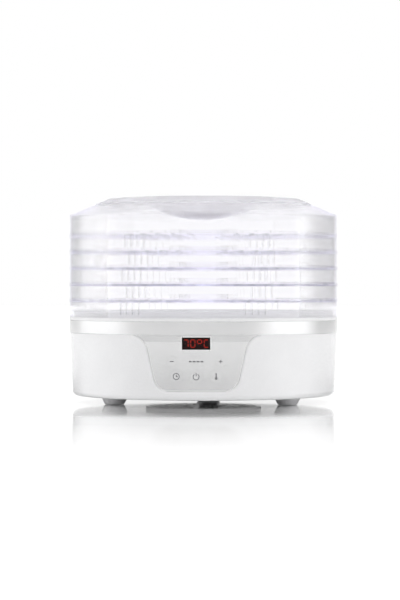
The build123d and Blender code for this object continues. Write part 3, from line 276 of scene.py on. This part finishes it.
def clear_plastic(name, rough, see_through, frost_radius=0.0):
    """Clear moulded plastic, its cool tint building up in thick edges; frosted inside a radius."""
    material, nodes, links, shader = new_material(name)
    shader.inputs["Transmission Weight"].default_value = 1.0
    shader.inputs["IOR"].default_value = CLEAR_IOR
    gloss = spread(nodes, links, object_noise(nodes, links, 30, 2), *rough)
    ripple = object_noise(nodes, links, RIPPLE_SCALE, 2)
    add_bump(nodes, links, shader, ripple, RIPPLE_DEPTH, RIPPLE_STRENGTH)
    if frost_radius:
        frosted = inside_radius(nodes, links, frost_radius)
        colour = blend(nodes, links, frosted, (*CLEAR_TINT, 1), (*FROST_COLOUR, 1), "RGBA")
        gloss = blend(nodes, links, frosted, gloss, FROST_ROUGHNESS)
        links.new(colour, shader.inputs["Base Color"])
        links.new(blend(nodes, links, frosted, see_through, FROST_ALPHA), shader.inputs["Alpha"])
    else:
        shader.inputs["Base Color"].default_value = (*CLEAR_TINT, 1)
        shader.inputs["Alpha"].default_value = see_through
    links.new(gloss, shader.inputs["Roughness"])
    soak = nodes.new("ShaderNodeVolumeAbsorption")
    soak.inputs["Color"].default_value = (*SOAK_COLOUR, 1)
    soak.inputs["Density"].default_value = SOAK_DENSITY
    links.new(soak.outputs["Volume"], nodes["Material Output"].inputs["Volume"])
    return material


def metal(name, first, second, rough, stretch):
    """Sheet or turned metal with fine drawn lines along one direction."""
    material, nodes, links, shader = new_material(name)
    grain = object_noise(nodes, links, METAL_GRAIN, 3, stretch)
    links.new(two_tone(nodes, links, grain, first, second), shader.inputs["Base Color"])
    links.new(spread(nodes, links, grain, *rough), shader.inputs["Roughness"])
    shader.inputs["Metallic"].default_value = 1.0
    add_bump(nodes, links, shader, grain, METAL_DEPTH)
    return material


def circuit_board():
    """Green solder mask with faint traces under it."""
    material, nodes, links, shader = new_material("circuit_board")
    traces = object_noise(nodes, links, 260, 5, (1, 1, 3))
    green = two_tone(nodes, links, traces, (0.02, 0.16, 0.06), (0.05, 0.3, 0.12))
    links.new(green, shader.inputs["Base Color"])
    links.new(spread(nodes, links, traces, 0.25, 0.4), shader.inputs["Roughness"])
    add_bump(nodes, links, shader, traces, 5e-5)
    return material


def smoked_lens():
    """Dark red see-through plastic of the display window."""
    material, nodes, links, shader = new_material("smoked_lens")
    shader.inputs["Base Color"].default_value = (*LENS_COLOUR, 1)
    shader.inputs["Transmission Weight"].default_value = 1.0
    shader.inputs["IOR"].default_value = LENS_IOR
    fine = object_noise(nodes, links, 400, 3)
    links.new(spread(nodes, links, fine, 0.02, 0.08), shader.inputs["Roughness"])
    add_bump(nodes, links, shader, fine, 1e-5)
    return material


def led_red():
    """Glowing red of the display's segments."""
    material, nodes, links, shader = new_material("led_red")
    glow = object_noise(nodes, links, 900, 2)
    red = two_tone(nodes, links, glow, (0.5, 0.02, 0.015), (0.7, 0.05, 0.03))
    links.new(red, shader.inputs["Base Color"])
    shader.inputs["Emission Color"].default_value = (*LED_GLOW, 1)
    shader.inputs["Emission Strength"].default_value = 1.0
    shader.inputs["Roughness"].default_value = 0.4
    return material


def make_materials():
    """A material for each of the record's slots, and for the digits and the printing."""
    materials = {
        "clear_plastic": clear_plastic("clear_plastic", (0.01, 0.05), 0.36),
        "clear_plastic_lid": clear_plastic("clear_plastic_lid", (0.02, 0.08), 0.33, FROST_RADIUS),
        "smoked_lens": smoked_lens(),
        "led_red": led_red(),
        "circuit_board": circuit_board(),
    }
    materials.update({name: plastic(name, *values) for name, values in PLASTICS.items()})
    materials.update({name: metal(name, *values) for name, values in METALS.items()})
    return materials


# --- printed symbols and display digits, laid on the curved fascia --------------------------------
def ray_tree(name):
    """A node's mesh, ready for rays."""
    mesh = NODES[name].data
    corners = [vertex.co for vertex in mesh.vertices]
    return BVHTree.FromPolygons(corners, [list(face.vertices) for face in mesh.polygons])


def front_hit(tree, x, z):
    """The Y at which a ray from the front meets the front half of a mesh, or None."""
    hit = tree.ray_cast(Vector((x, -1.0, z)), Vector((0, 1, 0)))[0]
    return hit.y if hit is not None and hit.y < 0 else None


def front_surface():
    """Rays from the front find the fascia, the key caps and the display lens."""
    keys = [name for name in NODES if name.startswith("key_")]
    trees = [ray_tree(name) for name in ["trim_fascia", "display_window"] + keys]

    def depth(x, z):
        hits = [front_hit(tree, x, z) for tree in trees]
        return min(hit for hit in hits if hit is not None)

    return depth


def neighbours(points, index, closed):
    """The points before and after one of a stroke, round the joint where the stroke is closed."""
    before = points[index - 1] if index else (points[-2] if closed else points[0])
    last = index + 1 == len(points)
    after = (points[1] if closed else points[-1]) if last else points[index + 1]
    return before, after


def ribbon_mesh(name, strokes, width, height_at, proud):
    """Flat strokes in front view, each a list of (x, z), laid on a surface as thin closed slabs."""
    mesh = bmesh.new()
    for stroke in strokes:
        closed = stroke[0] == stroke[-1]
        points = [Vector(p) for p in stroke]
        rows = []
        for index, point in enumerate(points):
            before, after = neighbours(points, index, closed)
            along = (after - before).normalized()
            side = Vector((-along.y, along.x)) * width / 2
            row = []
            for spot in (point + side, point - side):
                y = height_at(spot.x, spot.y) - proud
                front = mesh.verts.new((spot.x, y, spot.y))
                row.append((front, mesh.verts.new((spot.x, y + RIBBON_THICK, spot.y))))
            rows.append(row)
        for (left, right), (next_left, next_right) in zip(rows, rows[1:]):
            mesh.faces.new((left[0], right[0], next_right[0], next_left[0]))
            mesh.faces.new((left[1], next_left[1], next_right[1], right[1]))
            mesh.faces.new((left[0], next_left[0], next_left[1], left[1]))
            mesh.faces.new((right[0], right[1], next_right[1], next_right[0]))
        if not closed:
            for (left, right), flip in ((rows[0], False), (rows[-1], True)):
                loop = [left[0], left[1], right[1], right[0]]
                mesh.faces.new(loop[::-1] if flip else loop)
    bmesh.ops.remove_doubles(mesh, verts=mesh.verts, dist=WELD_DISTANCE)
    bmesh.ops.recalc_face_normals(mesh, faces=mesh.faces)
    data = bpy.data.meshes.new(name)
    mesh.to_mesh(data)
    mesh.free()
    piece = bpy.data.objects.new(name, data)
    bpy.context.scene.collection.objects.link(piece)
    return piece


def arc(x, z, radius, start, end):
    """Part of a circle, in degrees clockwise from the top."""
    points = []
    for step in range(ARC_STEPS + 1):
        turn = math.radians(start + (end - start) * step / ARC_STEPS)
        points.append((x + radius * math.sin(turn), z + radius * math.cos(turn)))
    return points


def ring(x, z, radius):
    """A full circle that ends exactly where it starts."""
    points = arc(x, z, radius, 0, 360)
    points[-1] = points[0]
    return points


def line(x, z, x0, z0, x1, z1):
    """A straight stroke about a centre, in millimetres, divided so that it can follow a curve."""
    points = []
    for step in range(LINE_STEPS + 1):
        share = step / LINE_STEPS
        points.append((x + MM * (x0 + (x1 - x0) * share), z + MM * (z0 + (z1 - z0) * share)))
    return points


def node_centre(name):
    """The middle of a node in front view."""
    low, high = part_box(name)
    return (low.x + high.x) / 2, (low.z + high.z) / 2


def symbols():
    """The strokes of each printed symbol, with its body and stroke width in millimetres."""
    marks = {}
    x, z = node_centre("key_minus")
    marks["minus_symbol"] = ("key_minus", 1.0, [line(x, z, -2.3, 0, 2.3, 0)])
    dashes = [line(0, z, -8.2 + 4.4 * number, 0, -5.0 + 4.4 * number, 0) for number in range(4)]
    x, z = node_centre("key_plus")
    cross = [line(x, z, -2.1, 0, 2.1, 0), line(x, z, 0, -2.1, 0, 2.1)]
    marks["plus_symbol"] = ("key_plus", 1.0, cross)
    x, z = node_centre("key_timer")
    hands = [line(x, z, 0, 2.1, 0, -0.35), line(x, z, -0.35, 0, 1.9, 0)]
    marks["timer_symbol"] = ("key_timer", 0.95, [ring(x, z, 3.5 * MM)] + hands)
    x, z = node_centre("key_power")
    power = [arc(x, z - 0.3 * MM, 3.4 * MM, 32, 328), line(x, z, 0, 0.4, 0, 4.0)]
    marks["power_symbol"] = ("key_power", 1.0, power)
    x, z = node_centre("key_temperature")
    thermometer = [line(x, z, 0, -0.6, 0, 3.9), ring(x, z - 2.1 * MM, 0.85 * MM)]
    marks["temperature_symbol"] = ("key_temperature", 1.5, thermometer)
    marks["mode_mark"] = ("base", 1.7, dashes)
    return marks


def make_symbols(materials):
    """The symbols printed on the keys, each riding its key, and the dashes between them."""
    depth = front_surface()
    for name, (body, width, strokes) in symbols().items():
        piece = ribbon_mesh(name, strokes, width * MM, depth, PRINT_PROUD)
        piece.data.materials.append(materials["print_grey"])
        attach(piece, body)


def make_digits(materials):
    """Four seven-segment characters standing on the display module's front face."""
    low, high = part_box("display_module")
    centre_z = (low.z + high.z) / 2
    strokes = []
    for place, lit in enumerate(READOUT):
        x = (place - (len(READOUT) - 1) / 2) * DIGIT_PITCH
        for segment in lit:
            start, end = [
                Vector((x + across * DIGIT_HALF_WIDTH, centre_z + up * DIGIT_HALF_HEIGHT))
                for across, up in SEGMENTS[segment]]
            gap = (end - start).normalized() * DIGIT_GAP
            strokes.append([tuple(start + gap), tuple(end - gap)])
    piece = ribbon_mesh("display_digits", strokes, DIGIT_STROKE, lambda x, z: low.y, DIGIT_PROUD)
    piece.data.materials.append(materials["led_red"])
    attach(piece, "base")


def make_window_border(materials):
    """The bright line round the display window."""
    low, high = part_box("display_window")
    x0, x1 = low.x - BORDER_OUT, high.x + BORDER_OUT
    z0, z1 = low.z - BORDER_OUT, high.z + BORDER_OUT
    across, down = BORDER_STEPS
    path = [(x0 + (x1 - x0) * step / across, z1) for step in range(across)]
    path += [(x1, z1 - (z1 - z0) * step / down) for step in range(down)]
    path += [(x1 - (x1 - x0) * step / across, z0) for step in range(across)]
    path += [(x0, z0 + (z1 - z0) * step / down) for step in range(down)]
    path.append(path[0])
    piece = ribbon_mesh("display_border", [path], BORDER_WIDTH, front_surface(), PRINT_PROUD)
    piece.data.materials.append(materials["print_white"])
    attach(piece, "base")


def make_panel_highlight(materials):
    """A painted highlight: a white line round the control panel's sides and lower edge, laid along
    its outline.
    """
    low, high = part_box("trim_fascia")
    tree = ray_tree("trim_fascia")

    def covered(x, z):
        return front_hit(tree, x, z) is not None

    def half_width(z):
        # From outside inwards, so that the key and window openings are never taken for the edge
        outside = SCAN_START
        while not covered(outside - MM, z):
            outside -= MM
        inside = outside - MM
        for _ in range(SCAN_HALVINGS):
            middle = (inside + outside) / 2
            inside, outside = (middle, outside) if covered(middle, z) else (inside, middle)
        return inside

    foot = low.z + EDGE_INSET
    start_z = node_centre("display_window")[1] - EDGE_START
    right = []
    for step in range(EDGE_SIDE_STEPS + 1):
        # Steps shrink downwards, where the outline bends
        z = start_z + (foot - start_z) * (1 - (1 - step / EDGE_SIDE_STEPS) ** 2)
        right.append((half_width(z) - EDGE_INSET, z))
    corner = right[-1][0]
    bottom = [
        (corner * (1 - 2 * step / EDGE_FOOT_STEPS), foot) for step in range(1, EDGE_FOOT_STEPS)]
    left = [(-x, z) for x, z in reversed(right)]
    surface = front_surface()

    def on_panel(x, z):
        # The ribbon's own width must not reach past the panel, where a ray would miss it
        z = max(z, low.z + PANEL_MARGIN_FOOT)
        edge = half_width(z) - PANEL_MARGIN_SIDE
        return surface(max(-edge, min(edge, x)), z)

    # A white ribbon painted along the panel's bevel as its highlight
    piece = ribbon_mesh("panel_highlight", [right + bottom + left], EDGE_WIDTH, on_panel, PRINT_PROUD)
    piece.data.materials.append(materials["print_white"])
    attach(piece, "base")


# --- stage ----------------------------------------------------------------------------------------
def make_floor():
    """White floor, mirror-like round the object and plain white further out, with a painted shadow
    under the base.
    """
    bpy.ops.mesh.primitive_grid_add(
        x_subdivisions=2, y_subdivisions=2, size=FLOOR_SIZE, location=(0, 0, -FLOOR_DROP))
    floor = bpy.context.object
    floor.name = "floor"
    material = bpy.data.materials.new("floor")
    material.use_nodes = True
    nodes, links = material.node_tree.nodes, material.node_tree.links
    nodes.clear()
    diffuse = nodes.new("ShaderNodeBsdfDiffuse")
    gloss = nodes.new("ShaderNodeBsdfGlossy")
    gloss.inputs["Color"].default_value = WHITE
    gloss.inputs["Roughness"].default_value = FLOOR_ROUGHNESS
    place = nodes.new("ShaderNodeTexCoord")
    length = calculate(nodes, links, "ShaderNodeVectorMath", "LENGTH", place.outputs["Object"])
    distance = length.outputs["Value"]
    # Painted shadow: the floor's own colour is darkened under the base
    links.new(grey_ramp(nodes, links, distance, FLOOR_PAINTED_SHADOW), diffuse.inputs["Color"])
    fade = grey_ramp(nodes, links, distance, FLOOR_GLOSS)
    out = nodes.new("ShaderNodeOutputMaterial")
    surface = mix_shaders(nodes, links, fade, diffuse.outputs["BSDF"], gloss.outputs["BSDF"])
    links.new(surface, out.inputs["Surface"])
    floor.data.materials.append(material)


def make_world():
    """Studio light from the world: soft boxes round the horizon under a bright ceiling."""
    world = bpy.data.worlds.new("studio")
    bpy.context.scene.world = world
    world.use_nodes = True
    nodes, links = world.node_tree.nodes, world.node_tree.links
    nodes.clear()
    place = nodes.new("ShaderNodeTexCoord")
    split = nodes.new("ShaderNodeSeparateXYZ")
    links.new(place.outputs["Generated"], split.inputs["Vector"])
    maths = "ShaderNodeMath"
    forward = calculate(nodes, links, maths, "MULTIPLY", split.outputs["Y"], -1.0)
    turn = calculate(
        nodes, links, maths, "ARCTAN2", split.outputs["X"], forward.outputs["Value"])
    share = map_range(nodes, links, turn.outputs["Value"], (-math.pi, math.pi))
    stops = [((angle + 180) / 360, level) for angle, level in HORIZON]
    horizon = grey_ramp(nodes, links, share, stops)
    rise = map_range(
        nodes, links, split.outputs["Z"], CEILING_RISE, interpolation="SMOOTHSTEP")
    dome = blend(nodes, links, rise, horizon, (CEILING, CEILING, CEILING, 1), "RGBA")
    lit = nodes.new("ShaderNodeBackground")
    links.new(dome, lit.inputs["Color"])
    shown = nodes.new("ShaderNodeBackground")
    shown.inputs["Color"].default_value = WHITE
    seen = nodes.new("ShaderNodeLightPath")
    white = calculate(
        nodes, links, maths, "MAXIMUM",
        seen.outputs["Is Camera Ray"], seen.outputs["Is Transmission Ray"])
    backgrounds = lit.outputs["Background"], shown.outputs["Background"]
    out = nodes.new("ShaderNodeOutputWorld")
    surface = mix_shaders(nodes, links, white.outputs["Value"], *backgrounds)
    links.new(surface, out.inputs["Surface"])


def make_camera():
    """The photograph's camera: level, and a few degrees towards +X from straight in front."""
    data = bpy.data.cameras.new("camera")
    data.lens = CAMERA_LENS
    data.sensor_width = CAMERA_SENSOR
    data.shift_x, data.shift_y = CAMERA_SHIFT
    data.clip_end = CAMERA_REACH
    camera = bpy.data.objects.new("camera", data)
    bpy.context.scene.collection.objects.link(camera)
    across, back = math.sin(CAMERA_TURN), -math.cos(CAMERA_TURN)
    camera.location = (CAMERA_DISTANCE * across, CAMERA_DISTANCE * back, CAMERA_HEIGHT)
    camera.rotation_euler = (math.pi / 2, 0, CAMERA_TURN)
    bpy.context.scene.camera = camera


def make_stage():
    """Light, floor and camera, and enough bounces to see through the whole clear stack."""
    scene = bpy.context.scene
    scene.view_settings.view_transform = "Standard"
    scene.cycles.max_bounces = 32
    scene.cycles.transmission_bounces = 28
    scene.cycles.transparent_max_bounces = 32
    scene.cycles.glossy_bounces = 8
    make_world()
    make_floor()
    make_camera()


def main():
    """Dresses the CAD nodes, adds the printed and lit pieces and the studio."""
    materials = make_materials()
    for name, node in NODES.items():
        node.data.materials.clear()
        node.data.materials.append(materials[SLOT_OF[name]])
    make_symbols(materials)
    make_digits(materials)
    make_window_border(materials)
    make_panel_highlight(materials)
    make_stage()


main()
